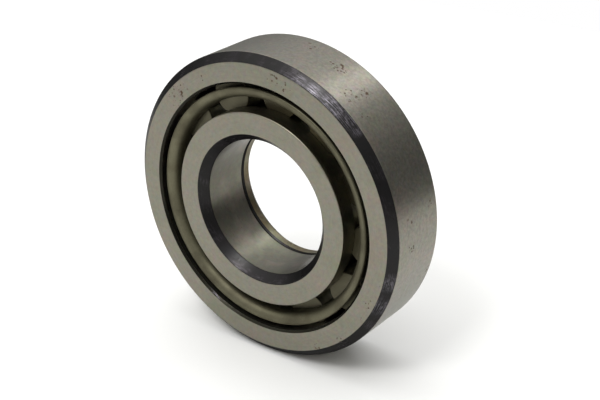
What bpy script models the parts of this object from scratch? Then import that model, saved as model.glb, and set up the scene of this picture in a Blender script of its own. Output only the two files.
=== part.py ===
"""Single-row cylindrical roller bearing, 40 mm bore, 90 mm outside diameter, 23 mm wide.

The outer ring has a flange on both sides. The inner ring has one at the front, and a loose thrust
collar closes it at the rear, so that the rollers locate the shaft both ways. A pressed steel cage
keeps the rollers apart. The bearing stands on its rim: its axis is Y and its front faces -Y.
"""

import math

import bmesh
import bpy
from mathutils import Matrix, Vector

MM = 0.001

# Boundary dimensions, with the origin at the middle of the bearing.
BORE_RADIUS = 20.0 * MM
RIM_RADIUS = 45.0 * MM
WIDTH = 23.0 * MM
FRONT = -WIDTH / 2
REAR = WIDTH / 2

# Rollers, evenly spaced, with the first one this far round from +X towards +Z.
ROLLER_COUNT = 12
ROLLER_DIAMETER = 12.0 * MM
ROLLER_LENGTH = 12.0 * MM
ROLLER_PHASE = math.radians(24.0)
ROLLER_END_CHAMFER = 0.22 * MM
INNER_RACEWAY_RADIUS = 26.75 * MM
OUTER_RACEWAY_RADIUS = INNER_RACEWAY_RADIUS + ROLLER_DIAMETER
PITCH_RADIUS = (INNER_RACEWAY_RADIUS + OUTER_RACEWAY_RADIUS) / 2
RADIAL_PLAY = 0.08 * MM
END_PLAY = 0.05 * MM
FLANGE_PLANE = ROLLER_LENGTH / 2 + END_PLAY

# Rings. A corner's chamfer is given as how far it cuts into the face, then along the axis.
OUTER_FLANGE_RADIUS = 36.5 * MM
INNER_FLANGE_RADIUS = 28.6 * MM
RIM_CHAMFER = (2.4 * MM, 2.2 * MM)
BORE_CHAMFER = (2.28 * MM, 2.6 * MM)
SEAM_CHAMFER = (0.5 * MM, 0.5 * MM)
OUTER_FLANGE_CHAMFER = (0.6 * MM, 0.6 * MM)
INNER_FLANGE_CHAMFER = (0.35 * MM, 0.35 * MM)
SEAM_FRONT = 5.9 * MM
SEAM_GAP = 0.3 * MM

# Cage: a band of sheet at the pitch circle, which flares outwards into a rim on each side.
SHEET = 1.5 * MM
BAND_INNER_RADIUS = 31.95 * MM
RIM_BEND_RADIUS = 3.0 * MM
RIM_SETBACK = 0.97 * MM
CAGE_RIM_RADIUS = 35.23 * MM
BEND_STEPS = 5
WINDOW_WIDTH = 12.2 * MM
WINDOW_LENGTH = 12.3 * MM

RING_STEPS = 72
ROLLER_STEPS = 36
SMOOTH_ANGLE = math.radians(25)


def clear_scene():
    for obj in list(bpy.data.objects):
        bpy.data.objects.remove(obj, do_unlink=True)


def steel(name, colour, roughness):
    material = bpy.data.materials.new(name)
    material.use_nodes = True
    shader = material.node_tree.nodes["Principled BSDF"]
    shader.inputs["Base Color"].default_value = (*colour, 1.0)
    shader.inputs["Metallic"].default_value = 1.0
    shader.inputs["Roughness"].default_value = roughness
    return material


def mesh_object(name, shape, material):
    """An object that takes the bmesh's shape, shaded smooth up to its corners."""
    mesh = bpy.data.meshes.new(name)
    shape.to_mesh(mesh)
    shape.free()
    mesh.materials.append(material)
    mesh.shade_smooth()
    mesh.set_sharp_from_angle(angle=SMOOTH_ANGLE)
    obj = bpy.data.objects.new(name, mesh)
    bpy.context.scene.collection.objects.link(obj)
    return obj


def turned(name, profile, material):
    """A ring, turned about Y from a closed profile of (radius, y) points."""
    shape = bmesh.new()
    corners = [shape.verts.new((radius, y, 0.0)) for radius, y in profile]
    edges = [shape.edges.new((a, b)) for a, b in zip(corners, corners[1:] + corners[:1])]
    bmesh.ops.spin(
        shape,
        geom=corners + edges,
        axis=(0.0, 1.0, 0.0),
        cent=(0.0, 0.0, 0.0),
        angle=math.tau,
        steps=RING_STEPS,
        use_merge=True,
    )
    bmesh.ops.recalc_face_normals(shape, faces=shape.faces)
    return mesh_object(name, shape, material)


def corner(radius, y, chamfer, radial_way, axial_way):
    """The two profile points of a chamfered corner, the one on the end face first."""
    into_face, along_axis = chamfer
    return [(radius + radial_way * into_face, y), (radius, y + axial_way * along_axis)]


def outer_ring_profile():
    half = (
        corner(RIM_RADIUS, FRONT, RIM_CHAMFER, -1, 1)[::-1]
        + corner(OUTER_FLANGE_RADIUS, FRONT, OUTER_FLANGE_CHAMFER, 1, 1)
        + [(OUTER_FLANGE_RADIUS, -FLANGE_PLANE), (OUTER_RACEWAY_RADIUS, -FLANGE_PLANE)]
    )
    return half + [(radius, -y) for radius, y in reversed(half)]


def inner_ring_profile():
    return (
        corner(BORE_RADIUS, FRONT, BORE_CHAMFER, 1, 1)[::-1]
        + corner(INNER_FLANGE_RADIUS, FRONT, INNER_FLANGE_CHAMFER, -1, 1)
        + [
            (INNER_FLANGE_RADIUS, -FLANGE_PLANE),
            (INNER_RACEWAY_RADIUS, -FLANGE_PLANE),
            (INNER_RACEWAY_RADIUS, SEAM_FRONT),
        ]
        + corner(BORE_RADIUS, SEAM_FRONT, SEAM_CHAMFER, 1, -1)
    )


def thrust_collar_profile():
    front = SEAM_FRONT + SEAM_GAP
    return (
        corner(BORE_RADIUS, front, SEAM_CHAMFER, 1, 1)[::-1]
        + corner(INNER_FLANGE_RADIUS, front, INNER_FLANGE_CHAMFER, -1, 1)
        + corner(INNER_FLANGE_RADIUS, REAR, INNER_FLANGE_CHAMFER, -1, -1)[::-1]
        + corner(BORE_RADIUS, REAR, BORE_CHAMFER, 1, -1)
    )


def bend(radius, centre):
    """A quarter turn from the band to the rim, about a centre outside the band."""
    angles = [math.radians(90) * step / BEND_STEPS for step in range(BEND_STEPS + 1)]
    return [
        (centre[0] - radius * math.cos(angle), centre[1] - radius * math.sin(angle))
        for angle in angles
    ]


def cage_profile():
    centre = (BAND_INNER_RADIUS + RIM_BEND_RADIUS, FRONT + RIM_SETBACK + RIM_BEND_RADIUS)
    inside = bend(RIM_BEND_RADIUS, centre)
    outside = bend(RIM_BEND_RADIUS - SHEET, centre)
    tip = [
        (CAGE_RIM_RADIUS, FRONT + RIM_SETBACK),
        (CAGE_RIM_RADIUS, FRONT + RIM_SETBACK + SHEET),
    ]
    front = inside + tip + outside[::-1]
    return front + [(radius, -y) for radius, y in reversed(front)]


def roller_angle(index):
    return ROLLER_PHASE + math.tau * index / ROLLER_COUNT


def window_cutter():
    """One block through the band for each roller, longer than the wall is thick."""
    shape = bmesh.new()
    depth = RIM_BEND_RADIUS + SHEET
    for index in range(ROLLER_COUNT):
        block = Matrix.Rotation(-roller_angle(index), 4, "Y") @ Matrix.Translation((PITCH_RADIUS, 0, 0))
        size = Matrix.Diagonal((2 * depth, WINDOW_LENGTH, WINDOW_WIDTH, 1.0))
        bmesh.ops.create_cube(shape, size=1.0, matrix=block @ size)
    mesh = bpy.data.meshes.new("window_cutter")
    shape.to_mesh(mesh)
    shape.free()
    cutter = bpy.data.objects.new("window_cutter", mesh)
    bpy.context.scene.collection.objects.link(cutter)
    cutter.hide_render = True
    cutter.display_type = "WIRE"
    return cutter


def make_cage(material):
    cage = turned("cage", cage_profile(), material)
    windows = cage.modifiers.new("windows", "BOOLEAN")
    windows.operation = "DIFFERENCE"
    windows.solver = "EXACT"
    windows.object = window_cutter()
    return cage


def roller_mesh(material):
    """One roller on the Y axis, its radius less the play, with a small chamfer at each end."""
    shape = bmesh.new()
    radius = ROLLER_DIAMETER / 2 - RADIAL_PLAY
    bmesh.ops.create_cone(
        shape,
        cap_ends=True,
        segments=ROLLER_STEPS,
        radius1=radius,
        radius2=radius,
        depth=ROLLER_LENGTH,
        matrix=Matrix.Rotation(math.radians(90), 4, "X"),
    )
    ends = [face for face in shape.faces if len(face.verts) == ROLLER_STEPS]
    edges = list({edge for face in ends for edge in face.edges})
    bmesh.ops.bevel(shape, geom=edges, offset=ROLLER_END_CHAMFER, segments=1, affect="EDGES")
    mesh = bpy.data.meshes.new("roller")
    shape.to_mesh(mesh)
    shape.free()
    mesh.materials.append(material)
    mesh.shade_smooth()
    mesh.set_sharp_from_angle(angle=SMOOTH_ANGLE)
    return mesh


def make_rollers(cage, material):
    """Each roller's origin is on its own axis, and the cage carries it round."""
    mesh = roller_mesh(material)
    for index in range(ROLLER_COUNT):
        roller = bpy.data.objects.new(f"roller_{index + 1:02d}", mesh)
        bpy.context.scene.collection.objects.link(roller)
        angle = roller_angle(index)
        roller.location = Vector((math.cos(angle), 0.0, math.sin(angle))) * PITCH_RADIUS
        roller.parent = cage


def main():
    clear_scene()
    ground = steel("ground_ring_steel", (0.27, 0.25, 0.20), 0.34)
    collar_steel = steel("ground_collar_steel", (0.25, 0.23, 0.18), 0.36)
    lapped = steel("lapped_roller_steel", (0.22, 0.22, 0.19), 0.24)
    pressed = steel("pressed_cage_steel", (0.18, 0.17, 0.13), 0.48)
    turned("outer_ring", outer_ring_profile(), ground)
    inner_ring = turned("inner_ring", inner_ring_profile(), ground)
    thrust_collar = turned("thrust_collar", thrust_collar_profile(), collar_steel)
    thrust_collar.parent = inner_ring
    make_rollers(make_cage(pressed), lapped)


main()
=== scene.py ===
"""Looks of a cylindrical roller bearing, laid out as a Blender add-on and run as a script.

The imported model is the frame. Each ring, the cage and every roller is grown again on it as a fine
turned piece, with the finishes of a bearing that has lain in a store: ground steel with an oil film
and specks of rust, chamfers still black from hardening, pressed cage sheet and lapped rollers.
"""

import math

import bmesh
import bpy
from mathutils import Matrix, Vector


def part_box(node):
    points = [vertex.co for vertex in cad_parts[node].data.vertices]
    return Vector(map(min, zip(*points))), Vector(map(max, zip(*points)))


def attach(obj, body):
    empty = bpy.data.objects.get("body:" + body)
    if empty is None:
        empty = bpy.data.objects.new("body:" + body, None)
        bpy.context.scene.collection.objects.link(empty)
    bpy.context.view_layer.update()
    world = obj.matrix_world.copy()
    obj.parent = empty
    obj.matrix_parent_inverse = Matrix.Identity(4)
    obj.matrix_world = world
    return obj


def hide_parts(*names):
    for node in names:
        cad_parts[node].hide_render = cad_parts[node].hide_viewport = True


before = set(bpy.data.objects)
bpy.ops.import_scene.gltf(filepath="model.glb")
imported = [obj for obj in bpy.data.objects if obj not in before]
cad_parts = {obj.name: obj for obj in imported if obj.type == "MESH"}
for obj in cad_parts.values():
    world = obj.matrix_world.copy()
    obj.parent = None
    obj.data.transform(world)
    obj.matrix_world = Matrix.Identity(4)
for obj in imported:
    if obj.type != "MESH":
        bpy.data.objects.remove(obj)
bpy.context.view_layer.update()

bl_info = {
    "name": "Roller Bearing",
    "version": (1, 0, 0),
    "blender": (4, 5, 0),
    "location": "3D View > Sidebar > Bearing",
    "description": "Grows the rings, the pressed cage and the rollers of a cylindrical roller bearing",
    "category": "Add Mesh",
}

MM = 0.001
OUTER_RING, INNER_RING, COLLAR, CAGE = "outer_ring", "inner_ring", "thrust_collar", "cage"
ROLLERS = sorted(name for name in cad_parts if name.startswith("roller_"))


# ------------------------------------------------------------------ sizes and colours


def linear(hex_colour):
    """The linear colour of an sRGB hex value."""
    channels = [int(hex_colour[i : i + 2], 16) / 255 for i in (0, 2, 4)]
    return tuple(c / 12.92 if c <= 0.04045 else ((c + 0.055) / 1.055) ** 2.4 for c in channels)


def size(name, description, metres):
    return bpy.props.FloatProperty(
        name=name, description=description, default=metres, precision=5, unit="LENGTH"
    )


def colour(name, description, hex_colour):
    return bpy.props.FloatVectorProperty(
        name=name, description=description, default=linear(hex_colour), min=0.0, max=1.0, subtype="COLOR"
    )


class BearingSizes(bpy.types.PropertyGroup):
    """Sizes of the turned pieces. The outside ones come from the frame."""

    front: size("Front", "Front faces of the rings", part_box(OUTER_RING)[0].y)
    rim: size("Rim", "Radius of the outer ring's rim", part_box(OUTER_RING)[1].x)
    bore: size("Bore", "Radius of the shaft's bore", 20.0 * MM)
    outer_flange: size("Outer flange", "Bore radius of the outer ring's flanges", 36.5 * MM)
    flange_chamfer: size("Flange chamfer", "Chamfer at the edge of the outer flanges", 0.6 * MM)
    inner_flange: size("Inner flange", "Radius of the inner ring's flange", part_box(INNER_RING)[1].x)
    outer_raceway: size("Outer raceway", "Radius of the outer raceway", 38.75 * MM)
    inner_raceway: size("Inner raceway", "Radius of the inner raceway", 26.75 * MM)
    flange_plane: size("Flange plane", "Half the distance between two flanges", 6.05 * MM)
    rim_chamfer_in: size("Rim chamfer in", "How far it cuts into the face", 2.4 * MM)
    rim_chamfer_along: size("Rim chamfer along", "How far it runs along the rim", 2.2 * MM)
    bore_chamfer_in: size("Bore chamfer in", "How far it cuts into the face", 2.28 * MM)
    bore_chamfer_along: size("Bore chamfer along", "How far it runs along the bore", 2.6 * MM)
    chamfer_round: size("Chamfer round", "Rounding where a chamfer meets a ground surface", 0.5 * MM)
    edge_round: size("Edge round", "Rounding at the edges of the flanges", 0.3 * MM)
    seam: size("Seam", "Rear end of the inner ring, where the collar meets it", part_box(INNER_RING)[1].y)
    collar_front: size("Collar front", "Front end of the thrust collar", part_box(COLLAR)[0].y)
    seam_chamfer: size("Seam chamfer", "Chamfer on both sides of the seam", 0.5 * MM)
    sheet: size("Sheet", "Thickness of the cage's sheet", 1.5 * MM)
    band: size("Band", "Inside radius of the cage's band", 31.95 * MM)
    bend: size("Bend", "Radius of the bend from the band to the rim", 3.0 * MM)
    window_width: size("Window width", "Width of a cage window, round the band", 12.2 * MM)
    window_length: size("Window length", "Length of a cage window, along the axis", 12.3 * MM)
    window_corner: size("Window corner", "Corner radius of a cage window", 0.6 * MM)
    roller_end_round: size("Roller end round", "Rounding at a roller's ends", 0.3 * MM)
    roller_growth: size("Roller growth", "How much thicker a roller is than its solid", 0.03 * MM)


class BearingColours(bpy.types.PropertyGroup):
    """Colours of the finishes."""

    ground: colour("Ground steel", "Ground faces of the rings", "848175")
    rim: colour("Rim steel", "Ground rim of the outer ring", "807D73")
    collar_bore: colour("Collar steel", "Ground bore of the collar, browned by old oil", "665E48")
    # Painted shade: the bore's steel is darker than the faces' for the shade inside the bore.
    bore: colour("Bore steel", "Ground bore of the inner ring", "67655B")
    oil_film: colour("Oil film", "Where a thin oil film greens the steel", "7B7C6B")
    warm_film: colour("Warm film", "Where the film has gone warm", "887E74")
    scale: colour("Black scale", "Scale left on the chamfers by hardening", "292828")
    # Painted shade: the flange edges' scale is a dark olive black, for the dark that these glossy edges
    # mirror.
    painted_edge_shade: colour("Oiled scale", "Scale at the edges near the cage, black with oil", "25241D")
    scale_edge: colour("Scale at a slant", "What the scale reflects when seen at a slant", "8A8886")
    # The rubbed scale's colour also paints highlights on the chamfers, where the front softbox is mirrored.
    rubbed_scale_and_highlight: colour("Rubbed scale", "Scale rubbed bright in handling", "767279")
    rust: colour("Rust", "Specks and stains of rust", "4A3727")
    cage: colour("Cage sheet", "Pressed sheet of the cage", "6D6A57")
    cage_dark: colour("Cage grime", "Oil and dust on the sheet", "5D5949")
    roller: colour("Roller steel", "Lapped running surface of the rollers", "9C9A8A")
    # Painted shade: the rollers' ends are darkened to this colour for the shade deep in the bearing; it
    # also tones the oil film on the rollers.
    roller_end_shade_and_oil: colour("Roller ends", "Ends of the rollers, dull with oil", "524F41")
    raceway: colour("Raceway steel", "Raceways and the faces that guide the rollers", "868170")
    floor: colour("Floor", "Plain pale floor", "EDEDEB")


# ------------------------------------------------------------------ nodes


def add(tree, kind, inputs=None, **settings):
    """Adds a node with its settings. An input is a constant, or the socket that feeds it."""
    node = tree.nodes.new(kind)
    for name, value in settings.items():
        setattr(node, name, value)
    for name, value in (inputs or {}).items():
        if isinstance(value, bpy.types.NodeSocket):
            tree.links.new(value, node.inputs[name])
        else:
            node.inputs[name].default_value = value
    return node


def geometry_tree(name, inputs):
    """An empty Geometry Nodes tree with these named inputs, and the sockets that they come from."""
    tree = bpy.data.node_groups.new(name, "GeometryNodeTree")
    for label, kind in [("Outline", "Geometry"), *inputs, ("Material", "Material")]:
        tree.interface.new_socket(label, in_out="INPUT", socket_type=f"NodeSocket{kind}")
    tree.interface.new_socket("Piece", in_out="OUTPUT", socket_type="NodeSocketGeometry")
    return tree, tree.nodes.new("NodeGroupInput").outputs


def close_tree(tree, geometry, material):
    """Realizes the piece, gives it its material and hands it out."""
    real = add(tree, "GeometryNodeRealizeInstances", {"Geometry": geometry})
    painted = add(tree, "GeometryNodeSetMaterial", {"Geometry": real.outputs[0], "Material": material})
    add(tree, "NodeGroupOutput", {0: painted.outputs[0]})
    return tree


def turned(tree, outline, steps):
    """Turns an outline of (radius, y) points about Y. It rides a circle, moved in by its radius."""
    circle_radius = 10 * MM
    touching = 1e-6
    circle = add(tree, "GeometryNodeCurvePrimitiveCircle", {"Resolution": steps, "Radius": circle_radius})
    curve = add(tree, "GeometryNodeMeshToCurve", {"Mesh": outline})
    moved = add(
        tree, "GeometryNodeTransform", {"Geometry": curve.outputs[0], "Translation": (-circle_radius, 0, 0)}
    )
    swept = add(
        tree, "GeometryNodeCurveToMesh", {"Curve": circle.outputs[0], "Profile Curve": moved.outputs[0]}
    )
    upright = add(
        tree, "GeometryNodeTransform", {"Geometry": swept.outputs[0], "Rotation": (math.radians(90), 0, 0)}
    )
    merged = add(
        tree, "GeometryNodeMergeByDistance", {"Geometry": upright.outputs[0], "Distance": touching}
    )
    return merged.outputs[0]


def turned_ring_tree():
    tree, given = geometry_tree("turned_ring", [("Steps", "Int")])
    return close_tree(tree, turned(tree, given["Outline"], given["Steps"]), given["Material"])


def roller_set_tree():
    """A turned roller, set on one place of the ring of rollers."""
    tree, given = geometry_tree(
        "roller_set",
        [
            ("Steps", "Int"),
            ("Count", "Int"),
            ("Place", "Int"),
            ("Pitch Radius", "Float"),
            ("Phase", "Float"),
        ],
    )
    circle = add(
        tree, "GeometryNodeMeshCircle", {"Vertices": given["Count"], "Radius": given["Pitch Radius"]}
    )
    upright = add(
        tree, "GeometryNodeTransform", {"Geometry": circle.outputs[0], "Rotation": (math.radians(90), 0, 0)}
    )
    turn = add(tree, "ShaderNodeMath", {0: given["Phase"], 1: -1.0}, operation="MULTIPLY")
    rotation = add(tree, "ShaderNodeCombineXYZ", {"Y": turn.outputs[0]})
    places = add(
        tree, "GeometryNodeTransform", {"Geometry": upright.outputs[0], "Rotation": rotation.outputs[0]}
    )
    index = add(tree, "GeometryNodeInputIndex")
    chosen = add(
        tree,
        "FunctionNodeCompare",
        {2: index.outputs[0], 3: given["Place"]},
        data_type="INT",
        operation="EQUAL",
    )
    rollers = add(
        tree,
        "GeometryNodeInstanceOnPoints",
        {
            "Points": places.outputs[0],
            "Selection": chosen.outputs[0],
            "Instance": turned(tree, given["Outline"], given["Steps"]),
        },
    )
    return close_tree(tree, rollers.outputs[0], given["Material"])


def window_cage_tree():
    """A turned band of sheet, with a round-cornered window cut through it for each roller."""
    tree, given = geometry_tree(
        "window_cage",
        [
            ("Steps", "Int"),
            ("Count", "Int"),
            ("Phase", "Float"),
            ("Window Width", "Float"),
            ("Window Length", "Float"),
            ("Window Corner", "Float"),
            ("Cut From", "Float"),
            ("Cut To", "Float"),
        ],
    )
    window = add(
        tree,
        "GeometryNodeCurvePrimitiveQuadrilateral",
        {"Width": given["Window Length"], "Height": given["Window Width"]},
    )
    cornered = add(
        tree,
        "GeometryNodeFilletCurve",
        {"Curve": window.outputs[0], "Count": 4, "Radius": given["Window Corner"]},
        mode="POLY",
    )
    start = add(tree, "ShaderNodeCombineXYZ", {"X": given["Cut From"]})
    end = add(tree, "ShaderNodeCombineXYZ", {"X": given["Cut To"]})
    line = add(tree, "GeometryNodeCurvePrimitiveLine", {"Start": start.outputs[0], "End": end.outputs[0]})
    cutter = add(
        tree,
        "GeometryNodeCurveToMesh",
        {"Curve": line.outputs[0], "Profile Curve": cornered.outputs[0], "Fill Caps": True},
    )
    points = add(tree, "GeometryNodePoints", {"Count": given["Count"]})
    index = add(tree, "GeometryNodeInputIndex")
    share = add(tree, "ShaderNodeMath", {0: index.outputs[0], 1: given["Count"]}, operation="DIVIDE")
    angle = add(
        tree,
        "ShaderNodeMath",
        {0: share.outputs[0], 1: math.tau, 2: given["Phase"]},
        operation="MULTIPLY_ADD",
    )
    turn = add(tree, "ShaderNodeMath", {0: angle.outputs[0], 1: -1.0}, operation="MULTIPLY")
    rotation = add(tree, "ShaderNodeCombineXYZ", {"Y": turn.outputs[0]})
    cutters = add(
        tree,
        "GeometryNodeInstanceOnPoints",
        {"Points": points.outputs[0], "Instance": cutter.outputs[0], "Rotation": rotation.outputs[0]},
    )
    real = add(tree, "GeometryNodeRealizeInstances", {"Geometry": cutters.outputs[0]})
    cut = add(
        tree,
        "GeometryNodeMeshBoolean",
        {"Mesh 1": turned(tree, given["Outline"], given["Steps"]), "Mesh 2": real.outputs[0]},
        operation="DIFFERENCE",
        solver="EXACT",
    )
    return close_tree(tree, cut.outputs[0], given["Material"])


# ------------------------------------------------------------------ outlines and pieces

ARC_STEPS = 4
RING_STEPS = 288
ROLLER_STEPS = 96
SMOOTH_ANGLE = math.radians(32)
# How far from an arc the point lies that holds the next straight run flat.
HOLD = 0.05 * MM
# Rounding of an edge that is only broken.
EDGE_BREAK = 0.1 * MM


def rounded(corners):
    """A closed outline from (radius, y, rounding, finish of the run after it) corners.

    Each corner is an arc. A point just off each end of a straight run keeps the run's shading flat.
    Returns the outline's points, and the finish of each of its segments.
    """
    points = []
    finishes = []
    for index, (radius, y, rounding, finish) in enumerate(corners):
        here = Vector((radius, y))
        back = (Vector(corners[index - 1][:2]) - here).normalized()
        ahead = (Vector(corners[(index + 1) % len(corners)][:2]) - here).normalized()
        half = back.angle(ahead) / 2
        cut = rounding / math.tan(half)
        middle = here + (back + ahead).normalized() * (rounding / math.sin(half))
        start = here + back * cut - middle
        sweep = start.angle_signed(here + ahead * cut - middle)
        turns = [Matrix.Rotation(-sweep * step / ARC_STEPS, 2) for step in range(ARC_STEPS + 1)]
        arc = [middle + turn @ start for turn in turns]
        points += [arc[0] + back * HOLD, *arc, arc[-1] + ahead * HOLD]
        before = corners[index - 1][3]
        finishes += [before] * (1 + ARC_STEPS // 2) + [finish] * (2 + ARC_STEPS // 2)
    return points, finishes


def grow(name, points, tree, values, closed=True):
    """A plain mesh piece, grown by a Geometry Nodes tree from an outline of points."""
    outline = bpy.data.meshes.new(name)
    count = len(points)
    edges = [(index, (index + 1) % count) for index in range(count if closed else count - 1)]
    outline.from_pydata([(point[0], point[1], 0.0) for point in points], edges, [])
    piece = bpy.data.objects.new(name + "_looks", outline)
    bpy.context.scene.collection.objects.link(piece)
    growth = piece.modifiers.new("growth", "NODES")
    growth.node_group = tree
    sockets = {item.name: item.identifier for item in tree.interface.items_tree if item.in_out == "INPUT"}
    for label, value in values.items():
        growth[sockets[label]] = value
    evaluated = piece.evaluated_get(bpy.context.evaluated_depsgraph_get())
    mesh = bpy.data.meshes.new_from_object(evaluated)
    piece.modifiers.remove(growth)
    piece.data = mesh
    bpy.data.meshes.remove(outline)
    shape = bmesh.new()
    shape.from_mesh(mesh)
    bmesh.ops.recalc_face_normals(shape, faces=shape.faces)
    shape.to_mesh(mesh)
    shape.free()
    if not mesh.polygons:
        raise RuntimeError(f"{name} grew no faces")
    mesh.shade_smooth()
    mesh.set_sharp_from_angle(angle=SMOOTH_ANGLE)
    return piece


def grow_ring(name, corners, materials):
    """A turned ring. Each run of its outline has its own finish, by its place in materials."""
    points, finishes = rounded(corners)
    piece = grow(name, points, turned_ring_tree(), {"Steps": RING_STEPS, "Material": materials[0]})
    for material in materials[1:]:
        piece.data.materials.append(material)
    for face in piece.data.polygons:
        face.material_index = finishes[face.index % len(finishes)]
    return piece


def settle(piece, body, node):
    """Hands a finished piece to its body. It stands for the node, which it hides."""
    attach(piece, body)
    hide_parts(node)


# ------------------------------------------------------------------ finishes

# A Mix node's factor, two colours and mixed colour, by place, because other sockets share their names.
FACTOR, COLOUR_A, COLOUR_B = 0, 6, 7
MIXED = 2


def per_mm(spacing):
    """The texture scale that puts a pattern's features this many millimetres apart."""
    return 1 / (spacing * MM)


def rgba(value):
    return (*value, 1.0)


def new_finish(name):
    """A material with its shader, and the place on the piece."""
    material = bpy.data.materials.new(name)
    material.use_nodes = True
    tree = material.node_tree
    place = add(tree, "ShaderNodeTexCoord").outputs["Object"]
    return material, tree, tree.nodes["Principled BSDF"], place


def lay(tree, place, spacing, run):
    """Noise drawn out round the axis, as the grinding wheel leaves it.

    spacing is the distance between two lines and run their length, in millimetres at the rim. Real
    lines are a few hundredths apart, too fine to show, so they are drawn coarser.
    """
    rim_radius = 45
    axial_gain = 2.3
    flat = add(tree, "ShaderNodeVectorMath", {0: place, 1: (1, 0, 1)}, operation="MULTIPLY").outputs[0]
    radius = add(tree, "ShaderNodeVectorMath", {0: flat}, operation="LENGTH").outputs["Value"]
    around = add(tree, "ShaderNodeVectorMath", {0: flat}, operation="NORMALIZE").outputs[0]
    axial = add(tree, "ShaderNodeSeparateXYZ", {0: place}).outputs["Y"]
    depth = add(
        tree, "ShaderNodeMath", {0: axial, 1: axial_gain, 2: radius}, operation="MULTIPLY_ADD"
    ).outputs[0]
    across = add(tree, "ShaderNodeMath", {0: depth, 1: per_mm(spacing)}, operation="MULTIPLY").outputs[0]
    line = add(tree, "ShaderNodeCombineXYZ", {"Y": across}).outputs[0]
    vector = add(
        tree,
        "ShaderNodeVectorMath",
        {0: around, 1: (rim_radius / run,) * 3, 2: line},
        operation="MULTIPLY_ADD",
    ).outputs[0]
    return add(tree, "ShaderNodeTexNoise", {"Vector": vector, "Scale": 1.0, "Detail": 2.0}).outputs[0]


def spot(tree, place, centre, spread):
    """1 at a spot's centre, falling to 0 at its spread."""
    distance = add(
        tree, "ShaderNodeVectorMath", {0: place, 1: centre}, operation="DISTANCE"
    ).outputs["Value"]
    return add(
        tree,
        "ShaderNodeMapRange",
        {"Value": distance, "From Min": 0.0, "From Max": spread, "To Min": 1.0, "To Max": 0.0},
    ).outputs[0]


def nearest_spot(tree, place, spots):
    """The strongest of several spots."""
    strongest = spot(tree, place, *spots[0])
    for centre, spread in spots[1:]:
        here = spot(tree, place, centre, spread)
        strongest = add(tree, "ShaderNodeMath", {0: strongest, 1: here}, operation="MAXIMUM").outputs[0]
    return strongest


def rust_specks(tree, place, spots, share):
    """Pits of rust up to a millimetre wide, thick in the spots and sparse, by share, elsewhere."""
    thickest = 0.52
    raggedness = 0.6
    softness = 0.08
    density = nearest_spot(tree, place, spots)
    clustered = add(
        tree,
        "ShaderNodeMapRange",
        {"Value": density, "From Min": 0.0, "From Max": 0.6, "To Min": 0.0, "To Max": thickest},
    ).outputs[0]
    reach = add(tree, "ShaderNodeMath", {0: clustered, 1: share}, operation="ADD").outputs[0]
    ragged = add(
        tree, "ShaderNodeTexNoise", {"Vector": place, "Scale": per_mm(1.1), "Detail": 5.0}
    ).outputs[0]
    cells = [
        add(tree, "ShaderNodeTexVoronoi", {"Vector": place, "Scale": per_mm(spacing)}).outputs["Distance"]
        for spacing in (1.9, 1.0)
    ]
    nearest = add(tree, "ShaderNodeMath", {0: cells[0], 1: cells[1]}, operation="MINIMUM").outputs[0]
    edge = add(
        tree, "ShaderNodeMath", {0: ragged, 1: raggedness, 2: nearest}, operation="MULTIPLY_ADD"
    ).outputs[0]
    inside = add(tree, "ShaderNodeMath", {0: reach, 1: edge}, operation="SUBTRACT").outputs[0]
    return add(
        tree, "ShaderNodeMapRange", {"Value": inside, "From Min": -softness, "From Max": softness}
    ).outputs[0]


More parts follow.
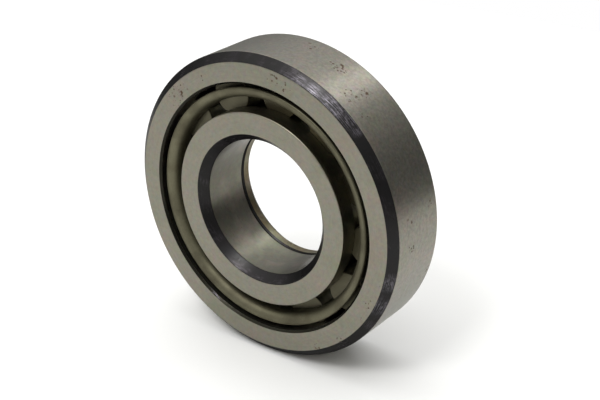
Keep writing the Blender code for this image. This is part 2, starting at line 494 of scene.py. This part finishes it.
def ground_steel(name, base, colours, spots, roughness, share=0.0, tarnish=0.06):
    """Hardened bearing steel, ground: fine lines round the axis under a patchy film of old oil.

    share is how much rust there is outside the spots, and tarnish how far it is darkened in specks.
    """
    rust_roughness = 0.45
    pit_depth = -1.5
    material, tree, shader, place = new_finish(name)
    clouds = add(
        tree, "ShaderNodeTexNoise", {"Vector": place, "Scale": per_mm(11), "Detail": 3.0}
    ).outputs[0]
    oil = add(tree, "ShaderNodeMapRange", {"Value": clouds, "From Min": 0.52, "From Max": 0.8}).outputs[0]
    oily = add(
        tree,
        "ShaderNodeMix",
        {FACTOR: oil, COLOUR_A: rgba(base), COLOUR_B: rgba(colours.oil_film)},
        data_type="RGBA",
    ).outputs[MIXED]
    warmth = add(
        tree, "ShaderNodeMapRange", {"Value": clouds, "From Min": 0.48, "From Max": 0.22}
    ).outputs[0]
    warm = add(
        tree,
        "ShaderNodeMix",
        {FACTOR: warmth, COLOUR_A: oily, COLOUR_B: rgba(colours.warm_film)},
        data_type="RGBA",
    ).outputs[MIXED]
    flecks = add(
        tree, "ShaderNodeTexNoise", {"Vector": place, "Scale": per_mm(1.3), "Detail": 2.0}
    ).outputs["Color"]
    tinted = add(
        tree,
        "ShaderNodeMix",
        {FACTOR: 0.16, COLOUR_A: warm, COLOUR_B: flecks},
        data_type="RGBA",
        blend_type="OVERLAY",
    ).outputs[MIXED]
    lines = lay(tree, place, spacing=0.3, run=5)
    line_tone = add(
        tree,
        "ShaderNodeMapRange",
        {"Value": lines, "From Min": 0.25, "From Max": 0.75, "To Min": 0.92, "To Max": 1.08},
    ).outputs[0]
    lined = add(tree, "ShaderNodeHueSaturation", {"Value": line_tone, "Color": tinted}).outputs[0]
    speck = add(
        tree, "ShaderNodeTexNoise", {"Vector": place, "Scale": per_mm(0.9), "Detail": 5.0, "Roughness": 0.7}
    ).outputs[0]
    speck_tone = add(
        tree,
        "ShaderNodeMapRange",
        {"Value": speck, "From Min": 0.35, "From Max": 0.65, "To Min": 1 - tarnish, "To Max": 1 + tarnish},
    ).outputs[0]
    toned = add(tree, "ShaderNodeHueSaturation", {"Value": speck_tone, "Color": lined}).outputs[0]
    rust = rust_specks(tree, place, spots, share)
    stained = add(
        tree,
        "ShaderNodeMix",
        {FACTOR: rust, COLOUR_A: toned, COLOUR_B: rgba(colours.rust)},
        data_type="RGBA",
    ).outputs[MIXED]
    bare = add(tree, "ShaderNodeMapRange", {"Value": rust, "To Min": 1.0, "To Max": 0.1}).outputs[0]
    smooth = add(
        tree,
        "ShaderNodeMapRange",
        {
            "Value": lines,
            "From Min": 0.25,
            "From Max": 0.75,
            "To Min": roughness - 0.05,
            "To Max": roughness + 0.07,
        },
    ).outputs[0]
    rough = add(
        tree, "ShaderNodeMath", {0: rust, 1: rust_roughness, 2: smooth}, operation="MULTIPLY_ADD"
    ).outputs[0]
    pits = add(
        tree, "ShaderNodeMath", {0: rust, 1: pit_depth, 2: lines}, operation="MULTIPLY_ADD"
    ).outputs[0]
    bump = add(tree, "ShaderNodeBump", {"Height": pits, "Strength": 0.12, "Distance": 0.02 * MM})
    tree.links.new(stained, shader.inputs["Base Color"])
    tree.links.new(bare, shader.inputs["Metallic"])
    tree.links.new(rough, shader.inputs["Roughness"])
    tree.links.new(bump.outputs[0], shader.inputs["Normal"])
    return material


def on_face(radius, degrees, y):
    """The place at this radius and y, this far round from +X towards +Z."""
    angle = math.radians(degrees)
    return (radius * math.cos(angle), y, radius * math.sin(angle))


def face_steel(sizes, colours):
    """Ground side faces: matt and even, with clusters of rust specks near the rim."""
    spots = [
        (on_face(radius * MM, degrees, sizes.front), spread * MM)
        for radius, degrees, spread in [
            (40, 138, 5.5),
            (39.5, 131, 4.0),
            (40, 118, 2.4),
            (40.2, 82, 3.6),
            (39.4, 76, 3.0),
            (40.7, 178, 1.6),
            (41.5, -14, 1.5),
            (41, -24, 3.0),
            (42, -33, 2.2),
            (42, -48, 2.4),
            (41.8, -61, 2.4),
            (27.4, 150, 1.2),
        ]
    ]
    return ground_steel("ground_face_steel", colours.ground, colours, spots, roughness=0.40)


def rim_steel(sizes, colours):
    """The ground rim: glossier than the faces, and more rusty, with clusters of specks.

    The bores of the flanges have this finish too.
    """
    spots = [
        (on_face(sizes.rim, degrees, y * MM), spread * MM)
        for y, degrees, spread in [
            (2.4, 68, 5.0),
            (-3.6, 57, 4.5),
            (1.5, 55, 3.5),
            (5, 83, 4.0),
            (-5, 48, 2.0),
            (-4, 9, 2.5),
            (-3.5, -1, 3.0),
            (6, 11, 2.0),
            (8, -16, 2.5),
            (-2, 130, 4.0),
            (4, 205, 4.0),
            (-3, 262, 4.0),
        ]
    ]
    return ground_steel(
        "ground_rim_steel", colours.rim, colours, spots, roughness=0.33, share=0.06, tarnish=0.17
    )


def bore_steel(sizes, colours):
    """The inner ring's ground bore, with brown stains where the collar meets it, and darker steel as
    painted shade.
    """
    spots = [
        (on_face(sizes.bore, degrees, y * MM), spread * MM)
        for y, degrees, spread in [(4.5, -70, 4.0), (3.0, -55, 3.0), (5.0, 60, 3.0)]
    ]
    return ground_steel("shaded_ground_bore_steel", colours.bore, colours, spots, roughness=0.32)


def collar_bore_steel(sizes, colours):
    """The collar's bore, which has stood in old oil: olive brown, and more rusty than the ring's."""
    spots = [
        (on_face(sizes.bore, degrees, y * MM), spread * MM)
        for y, degrees, spread in [(8, -60, 5.0), (9, -100, 4.0), (8, 140, 4.0)]
    ]
    return ground_steel(
        "stained_collar_bore", colours.collar_bore, colours, spots, roughness=0.38, share=0.08, tarnish=0.16
    )


def raceway_steel(sizes, colours):
    """Honed raceways and the faces that guide the rollers: bright, under a film of oil."""
    spots = [(on_face(sizes.outer_raceway, 30, 0.0), 4 * MM)]
    return ground_steel("honed_raceway_steel", colours.raceway, colours, spots, roughness=0.32)


def scale_rubs_and_highlights(sizes):
    """Where the rim's chamfers are rubbed bright: depth, run along, angle and size. The spots from 45 to 72
    degrees lie where the front softbox is mirrored in the chamfer, so their lighter streaks are partly a
    painted highlight.
    """
    return [
        (on_face(sizes.rim - inwards * MM, degrees, sizes.front + along * MM), spread * MM)
        for inwards, along, degrees, spread in [
            (2.3, 0.2, 72, 3.0),
            (2.3, 0.2, 65, 3.4),
            (2.0, 0.4, 59, 3.0),
            (1.4, 1.0, 54, 3.2),
            (0.5, 1.8, 57, 3.0),
            (0.6, 1.8, 49, 3.2),
            (0.8, 1.4, 45, 2.0),
            (1.2, 1.2, -12, 3.5),
            (1.4, 1.0, -23, 4.0),
            (1.2, 1.2, 205, 5.0),
        ]
    ]


def hardened_scale(name, base, colours, rub_and_highlight_spots, roughness, wear):
    """Black scale, as the furnace left it, rubbed bright in streaks in random patches and at the given
    spots.
    Some spots lie where a softbox is mirrored, so there the lighter streaks are partly a painted highlight.

    wear is how far it is rubbed away from the spots.
    """
    line_share = 1.6
    material, tree, shader, place = new_finish(name)
    lines = lay(tree, place, spacing=0.35, run=4)
    patches = add(tree, "ShaderNodeTexNoise", {"Vector": place, "Scale": per_mm(5), "Detail": 6.0}).outputs
    scratch = add(
        tree, "ShaderNodeTexNoise", {"Vector": place, "Scale": per_mm(0.8), "Detail": 6.0, "Roughness": 0.7}
    ).outputs[0]
    # Lighter streaks at the spots: rubbed scale, and partly a painted highlight where a softbox is
    # mirrored.
    rub_and_highlight_mask = nearest_spot(tree, place, rub_and_highlight_spots)
    elsewhere = add(
        tree,
        "ShaderNodeMapRange",
        {"Value": patches[0], "From Min": 0.5, "From Max": 0.85, "To Min": 0.0, "To Max": wear},
    ).outputs[0]
    exposed_and_highlight = add(tree, "ShaderNodeMath", {0: elsewhere, 1: rub_and_highlight_mask}, operation="MAXIMUM").outputs[0]
    streaks = add(
        tree, "ShaderNodeMath", {0: lines, 1: line_share, 2: scratch}, operation="MULTIPLY_ADD"
    ).outputs[0]
    streaked = add(
        tree, "ShaderNodeMapRange", {"Value": streaks, "From Min": 1.22, "From Max": 1.6}
    ).outputs[0]
    worn_and_highlight = add(tree, "ShaderNodeMath", {0: exposed_and_highlight, 1: streaked}, operation="MULTIPLY").outputs[0]
    tinted = add(
        tree,
        "ShaderNodeMix",
        {FACTOR: 0.1, COLOUR_A: rgba(base), COLOUR_B: patches[1]},
        data_type="RGBA",
        blend_type="OVERLAY",
    ).outputs[MIXED]
    rubbed = add(
        tree,
        "ShaderNodeMix",
        {FACTOR: worn_and_highlight, COLOUR_A: tinted, COLOUR_B: rgba(colours.rubbed_scale_and_highlight)},
        data_type="RGBA",
    ).outputs[MIXED]
    bare = add(tree, "ShaderNodeMapRange", {"Value": worn_and_highlight, "To Min": 0.75, "To Max": 1.0}).outputs[0]
    matt = add(
        tree,
        "ShaderNodeMapRange",
        {
            "Value": scratch,
            "From Min": 0.3,
            "From Max": 0.7,
            "To Min": roughness - 0.06,
            "To Max": roughness + 0.06,
        },
    ).outputs[0]
    bump = add(tree, "ShaderNodeBump", {"Height": streaks, "Strength": 0.15, "Distance": 0.02 * MM})
    tree.links.new(rubbed, shader.inputs["Base Color"])
    tree.links.new(bare, shader.inputs["Metallic"])
    tree.links.new(matt, shader.inputs["Roughness"])
    tree.links.new(bump.outputs[0], shader.inputs["Normal"])
    shader.inputs["Specular Tint"].default_value = rgba(colours.scale_edge)
    return material


def chamfer_scale(sizes, colours):
    """The big chamfers of the rim and the bore, and the small ones at the seam: a soft purplish black."""
    return hardened_scale(
        "black_hardening_scale", colours.scale, colours, scale_rubs_and_highlights(sizes), roughness=0.32, wear=0.5
    )


def edge_scale(sizes, colours):
    """The small chamfers of the outer ring's flanges: glossier, and dark olive black as painted shade, for
    the dark that these edges mirror.
    """
    # A painted highlight on rubbed streaks, where the front softbox is mirrored in the chamfer.
    rub_and_highlight_spots = [(on_face(sizes.outer_flange, -118, sizes.front), 3 * MM)]
    return hardened_scale(
        "painted_shade_edge_scale", colours.painted_edge_shade, colours, rub_and_highlight_spots, roughness=0.2, wear=0.2
    )


def cage_steel(colours):
    """Pressed and tumbled sheet steel: matt, softly mottled, with oil and dust on it."""
    material, tree, shader, place = new_finish("pressed_cage_steel")
    clouds = add(
        tree, "ShaderNodeTexNoise", {"Vector": place, "Scale": per_mm(6), "Detail": 4.0}
    ).outputs[0]
    grain = add(
        tree, "ShaderNodeTexNoise", {"Vector": place, "Scale": per_mm(0.5), "Detail": 3.0}
    ).outputs[0]
    grime = add(tree, "ShaderNodeMapRange", {"Value": clouds, "From Min": 0.42, "From Max": 0.7}).outputs[0]
    grimy = add(
        tree,
        "ShaderNodeMix",
        {FACTOR: grime, COLOUR_A: rgba(colours.cage), COLOUR_B: rgba(colours.cage_dark)},
        data_type="RGBA",
    ).outputs[MIXED]
    grain_tone = add(
        tree,
        "ShaderNodeMapRange",
        {"Value": grain, "From Min": 0.3, "From Max": 0.7, "To Min": 0.93, "To Max": 1.07},
    ).outputs[0]
    toned = add(tree, "ShaderNodeHueSaturation", {"Value": grain_tone, "Color": grimy}).outputs[0]
    matt = add(
        tree,
        "ShaderNodeMapRange",
        {"Value": clouds, "From Min": 0.3, "From Max": 0.7, "To Min": 0.48, "To Max": 0.62},
    ).outputs[0]
    bump = add(tree, "ShaderNodeBump", {"Height": grain, "Strength": 0.25, "Distance": 0.03 * MM})
    tree.links.new(toned, shader.inputs["Base Color"])
    tree.links.new(matt, shader.inputs["Roughness"])
    tree.links.new(bump.outputs[0], shader.inputs["Normal"])
    shader.inputs["Metallic"].default_value = 1.0
    return material


def roller_steel(colours, end_plane):
    """Lapped rollers: bright, with faint lines round them and a film of oil, and ends darkened as painted
    shade.

    The lines are drawn coarser than real ones, which are too fine to show.
    """
    material, tree, shader, place = new_finish("lapped_roller_steel")
    stretched = add(
        tree,
        "ShaderNodeVectorMath",
        {0: place, 1: (per_mm(5), per_mm(0.25), per_mm(5))},
        operation="MULTIPLY",
    ).outputs[0]
    lines = add(tree, "ShaderNodeTexNoise", {"Vector": stretched, "Scale": 1.0, "Detail": 2.0}).outputs[0]
    film = add(tree, "ShaderNodeTexNoise", {"Vector": place, "Scale": per_mm(3), "Detail": 3.0}).outputs[0]
    axial = add(tree, "ShaderNodeSeparateXYZ", {0: place}).outputs["Y"]
    depth = add(tree, "ShaderNodeMath", {0: axial}, operation="ABSOLUTE").outputs[0]
    # Painted shade: the ends are darkened to the end colour, for the shade deep in the bearing.
    end = add(
        tree,
        "ShaderNodeMapRange",
        {"Value": depth, "From Min": end_plane - 0.4 * MM, "From Max": end_plane - 0.1 * MM},
    ).outputs[0]
    shaded_ends = add(
        tree,
        "ShaderNodeMix",
        {FACTOR: end, COLOUR_A: rgba(colours.roller), COLOUR_B: rgba(colours.roller_end_shade_and_oil)},
        data_type="RGBA",
    ).outputs[MIXED]
    oil = add(
        tree,
        "ShaderNodeMapRange",
        {"Value": film, "From Min": 0.4, "From Max": 0.7, "To Min": 0.0, "To Max": 0.6},
    ).outputs[0]
    oily = add(
        tree,
        "ShaderNodeMix",
        {FACTOR: oil, COLOUR_A: shaded_ends, COLOUR_B: rgba(colours.roller_end_shade_and_oil)},
        data_type="RGBA",
    ).outputs[MIXED]
    line_tone = add(
        tree,
        "ShaderNodeMapRange",
        {"Value": lines, "From Min": 0.3, "From Max": 0.7, "To Min": 0.92, "To Max": 1.08},
    ).outputs[0]
    toned = add(tree, "ShaderNodeHueSaturation", {"Value": line_tone, "Color": oily}).outputs[0]
    glossy = add(
        tree,
        "ShaderNodeMapRange",
        {"Value": film, "From Min": 0.3, "From Max": 0.7, "To Min": 0.34, "To Max": 0.42},
    ).outputs[0]
    bump = add(tree, "ShaderNodeBump", {"Height": lines, "Strength": 0.03, "Distance": 0.01 * MM})
    tree.links.new(toned, shader.inputs["Base Color"])
    tree.links.new(glossy, shader.inputs["Roughness"])
    tree.links.new(bump.outputs[0], shader.inputs["Normal"])
    shader.inputs["Metallic"].default_value = 1.0
    return material


# ------------------------------------------------------------------ operators


class BEARING_OT_outer_ring(bpy.types.Operator):
    """Adds the outer ring, with its two flanges"""

    bl_idname = "bearing.outer_ring"
    bl_label = "Outer Ring"

    def execute(self, context):
        s = context.scene.bearing_sizes
        colours = context.scene.bearing_colours
        face, rim, scale, inside, edge = range(5)
        corners = [
            (s.outer_flange, s.front + s.flange_chamfer, EDGE_BREAK, edge),
            (s.outer_flange + s.flange_chamfer, s.front, EDGE_BREAK, face),
            (s.rim - s.rim_chamfer_in, s.front, s.chamfer_round, scale),
            (s.rim, s.front + s.rim_chamfer_along, s.chamfer_round, rim),
            (s.rim, -s.front - s.rim_chamfer_along, s.chamfer_round, scale),
            (s.rim - s.rim_chamfer_in, -s.front, s.chamfer_round, face),
            (s.outer_flange + s.flange_chamfer, -s.front, EDGE_BREAK, edge),
            (s.outer_flange, -s.front - s.flange_chamfer, EDGE_BREAK, rim),
            (s.outer_flange, s.flange_plane, EDGE_BREAK, inside),
            (s.outer_raceway, s.flange_plane, EDGE_BREAK, inside),
            (s.outer_raceway, -s.flange_plane, EDGE_BREAK, inside),
            (s.outer_flange, -s.flange_plane, EDGE_BREAK, rim),
        ]
        materials = [face_steel(s, colours), rim_steel(s, colours), chamfer_scale(s, colours)]
        materials += [raceway_steel(s, colours), edge_scale(s, colours)]
        settle(grow_ring(OUTER_RING, corners, materials), "outer_ring", OUTER_RING)
        return {"FINISHED"}


class BEARING_OT_inner_ring(bpy.types.Operator):
    """Adds the inner ring, with its one flange"""

    bl_idname = "bearing.inner_ring"
    bl_label = "Inner Ring"

    def execute(self, context):
        s = context.scene.bearing_sizes
        colours = context.scene.bearing_colours
        face, bore, scale, inside = range(4)
        corners = [
            (s.bore, s.front + s.bore_chamfer_along, s.chamfer_round, scale),
            (s.bore + s.bore_chamfer_in, s.front, s.chamfer_round, face),
            (s.inner_flange, s.front, s.edge_round, inside),
            (s.inner_flange, -s.flange_plane, EDGE_BREAK, inside),
            (s.inner_raceway, -s.flange_plane, EDGE_BREAK, inside),
            (s.inner_raceway, s.seam, EDGE_BREAK, face),
            (s.bore + s.seam_chamfer, s.seam, EDGE_BREAK, scale),
            (s.bore, s.seam - s.seam_chamfer, EDGE_BREAK, bore),
        ]
        materials = [face_steel(s, colours), bore_steel(s, colours), chamfer_scale(s, colours)]
        materials.append(raceway_steel(s, colours))
        settle(grow_ring(INNER_RING, corners, materials), "inner_ring", INNER_RING)
        return {"FINISHED"}


class BEARING_OT_thrust_collar(bpy.types.Operator):
    """Adds the loose thrust collar behind the inner ring"""

    bl_idname = "bearing.thrust_collar"
    bl_label = "Thrust Collar"

    def execute(self, context):
        s = context.scene.bearing_sizes
        colours = context.scene.bearing_colours
        face, bore, scale = range(3)
        corners = [
            (s.bore, s.collar_front + s.seam_chamfer, EDGE_BREAK, scale),
            (s.bore + s.seam_chamfer, s.collar_front, EDGE_BREAK, face),
            (s.inner_flange, s.collar_front, s.edge_round, face),
            (s.inner_flange, -s.front, s.edge_round, face),
            (s.bore + s.bore_chamfer_in, -s.front, s.chamfer_round, scale),
            (s.bore, -s.front - s.bore_chamfer_along, s.chamfer_round, bore),
        ]
        materials = [face_steel(s, colours), collar_bore_steel(s, colours), chamfer_scale(s, colours)]
        settle(grow_ring(COLLAR, corners, materials), "thrust_collar", COLLAR)
        return {"FINISHED"}


def roller_places():
    """How many rollers there are, how far from the axis, and the angle of the first."""
    low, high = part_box(ROLLERS[0])
    middle = (low + high) / 2
    return len(ROLLERS), math.hypot(middle.x, middle.z), math.atan2(middle.z, middle.x)


class BEARING_OT_cage(bpy.types.Operator):
    """Adds the pressed cage, with a window for each roller"""

    bl_idname = "bearing.cage"
    bl_label = "Cage"

    def execute(self, context):
        s = context.scene.bearing_sizes
        low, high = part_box(CAGE)
        rim = high.x
        tip = 0.5 * MM
        outer = s.band + s.sheet
        corners = [
            (s.band, low.y, s.bend, 0),
            (rim, low.y, tip, 0),
            (rim, low.y + s.sheet, tip, 0),
            (outer, low.y + s.sheet, s.bend - s.sheet, 0),
            (outer, high.y - s.sheet, s.bend - s.sheet, 0),
            (rim, high.y - s.sheet, tip, 0),
            (rim, high.y, tip, 0),
            (s.band, high.y, s.bend, 0),
        ]
        count, _, phase = roller_places()
        values = {
            "Steps": RING_STEPS,
            "Count": count,
            "Phase": phase,
            "Window Width": s.window_width,
            "Window Length": s.window_length,
            "Window Corner": s.window_corner,
            "Cut From": s.band - s.sheet,
            "Cut To": outer + s.sheet,
            "Material": cage_steel(context.scene.bearing_colours),
        }
        settle(grow(CAGE, rounded(corners)[0], window_cage_tree(), values), "cage", CAGE)
        return {"FINISHED"}


class BEARING_OT_rollers(bpy.types.Operator):
    """Adds the rollers, one piece for each body"""

    bl_idname = "bearing.rollers"
    bl_label = "Rollers"

    def execute(self, context):
        s = context.scene.bearing_sizes
        low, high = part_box(ROLLERS[0])
        radius = (high.x - low.x) / 2 + s.roller_growth
        count, pitch_radius, phase = roller_places()
        corners = [
            (0.0, low.y, s.roller_end_round, 0),
            (radius, low.y, s.roller_end_round, 0),
            (radius, high.y, s.roller_end_round, 0),
            (0.0, high.y, s.roller_end_round, 0),
        ]
        corner_points = ARC_STEPS + 3
        arcs = rounded(corners)[0][corner_points:-corner_points]
        points = [(0.0, low.y), *arcs, (0.0, high.y)]
        tree = roller_set_tree()
        steel = roller_steel(context.scene.bearing_colours, high.y)
        for place, node in enumerate(ROLLERS):
            values = {
                "Steps": ROLLER_STEPS,
                "Count": count,
                "Place": place,
                "Pitch Radius": pitch_radius,
                "Phase": phase,
                "Material": steel,
            }
            settle(grow(node, points, tree, values, closed=False), node, node)
        return {"FINISHED"}


class BEARING_OT_stage(bpy.types.Operator):
    """Adds the floor, the lights, the sky and the camera"""

    bl_idname = "bearing.stage"
    bl_label = "Stage"

    def execute(self, context):
        add_floor(context)
        add_softbox("softbox_behind", azimuth=5, elevation=42, side=0.2, radiance=3.0)
        add_softbox("softbox_front", azimuth=180, elevation=55, side=0.24, radiance=15.0)
        add_sky(context)
        add_camera(context)
        context.scene.view_settings.view_transform = "Standard"
        return {"FINISHED"}


def add_floor(context):
    """A round pale table top, at the height that the bearing stands on, mostly in front of it."""
    radius = 0.4
    middle = Vector((-0.06, -0.08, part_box(OUTER_RING)[0].z))
    shape = bmesh.new()
    bmesh.ops.create_circle(
        shape, cap_ends=True, segments=96, radius=radius, matrix=Matrix.Translation(middle)
    )
    mesh = bpy.data.meshes.new("floor")
    shape.to_mesh(mesh)
    shape.free()
    floor = bpy.data.objects.new("floor", mesh)
    context.scene.collection.objects.link(floor)
    material, _, shader, _ = new_finish("matt_painted_floor")
    shader.inputs["Base Color"].default_value = rgba(context.scene.bearing_colours.floor)
    shader.inputs["Roughness"].default_value = 0.9
    mesh.materials.append(material)


def add_softbox(name, azimuth, elevation, side, radiance):
    """A square softbox seen from the bearing at this azimuth, from +Y towards +X, and elevation."""
    distance = 0.9
    light = bpy.data.lights.new(name, "AREA")
    light.size = side
    light.energy = radiance * math.pi * side * side
    softbox = bpy.data.objects.new(name, light)
    a, e = math.radians(azimuth), math.radians(elevation)
    way = Vector((math.sin(a) * math.cos(e), math.cos(a) * math.cos(e), math.sin(e)))
    softbox.location = way * distance
    softbox.rotation_euler = way.to_track_quat("Z", "Y").to_euler()
    bpy.context.scene.collection.objects.link(softbox)


def add_sky(context):
    """Light from a big diffuser overhead, a little to the left, fading towards the horizon."""
    world = bpy.data.worlds.new("studio")
    world.use_nodes = True
    tree = world.node_tree
    diffuser = Vector((-0.25, 0.0, 1.0)).normalized()
    falloff = 2.1
    overhead = 2.1
    horizon = 0.18
    way = add(tree, "ShaderNodeTexCoord").outputs["Generated"]
    height = add(
        tree, "ShaderNodeVectorMath", {0: way, 1: diffuser}, operation="DOT_PRODUCT"
    ).outputs["Value"]
    above = add(tree, "ShaderNodeMath", {0: height, 1: 0.0}, operation="MAXIMUM").outputs[0]
    curved = add(tree, "ShaderNodeMath", {0: above, 1: falloff}, operation="POWER").outputs[0]
    strength = add(
        tree, "ShaderNodeMath", {0: curved, 1: overhead, 2: horizon}, operation="MULTIPLY_ADD"
    ).outputs[0]
    seen = add(tree, "ShaderNodeLightPath").outputs["Is Camera Ray"]
    shown = add(tree, "ShaderNodeMix", {0: seen, 2: strength, 3: 1.0}).outputs[0]
    tree.links.new(shown, tree.nodes["Background"].inputs["Strength"])
    tree.nodes["Background"].inputs["Color"].default_value = (1.0, 1.0, 1.0, 1.0)
    context.scene.world = world


def add_camera(context):
    """A three-quarter view from the front right, from above."""
    camera = bpy.data.cameras.new("camera")
    camera.lens = 76.3
    camera.sensor_width = 36.0
    camera.clip_start = 0.01
    view = bpy.data.objects.new("camera", camera)
    view.location = (0.1991, -0.2574, 0.1552)
    view.rotation_euler = Vector((-0.5414, 0.7208, -0.4329)).to_track_quat("-Z", "Y").to_euler()
    context.scene.collection.objects.link(view)
    context.scene.camera = view


class BEARING_PT_panel(bpy.types.Panel):
    """Lists the pieces of the bearing"""

    bl_idname = "BEARING_PT_panel"
    bl_label = "Roller Bearing"
    bl_space_type = "VIEW_3D"
    bl_region_type = "UI"
    bl_category = "Bearing"

    def draw(self, context):
        for operator in OPERATORS:
            self.layout.operator(operator.bl_idname)
        for group in (context.scene.bearing_sizes, context.scene.bearing_colours):
            for name in group.__annotations__:
                self.layout.prop(group, name)


OPERATORS = (
    BEARING_OT_outer_ring,
    BEARING_OT_inner_ring,
    BEARING_OT_thrust_collar,
    BEARING_OT_cage,
    BEARING_OT_rollers,
    BEARING_OT_stage,
)
CLASSES = (BearingSizes, BearingColours, *OPERATORS, BEARING_PT_panel)


def register():
    for cls in CLASSES:
        bpy.utils.register_class(cls)
    bpy.types.Scene.bearing_sizes = bpy.props.PointerProperty(type=BearingSizes)
    bpy.types.Scene.bearing_colours = bpy.props.PointerProperty(type=BearingColours)


def unregister():
    del bpy.types.Scene.bearing_colours
    del bpy.types.Scene.bearing_sizes
    for cls in reversed(CLASSES):
        bpy.utils.unregister_class(cls)


def main():
    register()
    bpy.ops.bearing.outer_ring()
    bpy.ops.bearing.inner_ring()
    bpy.ops.bearing.thrust_collar()
    bpy.ops.bearing.cage()
    bpy.ops.bearing.rollers()
    bpy.ops.bearing.stage()


if __name__ == "__main__":
    main()
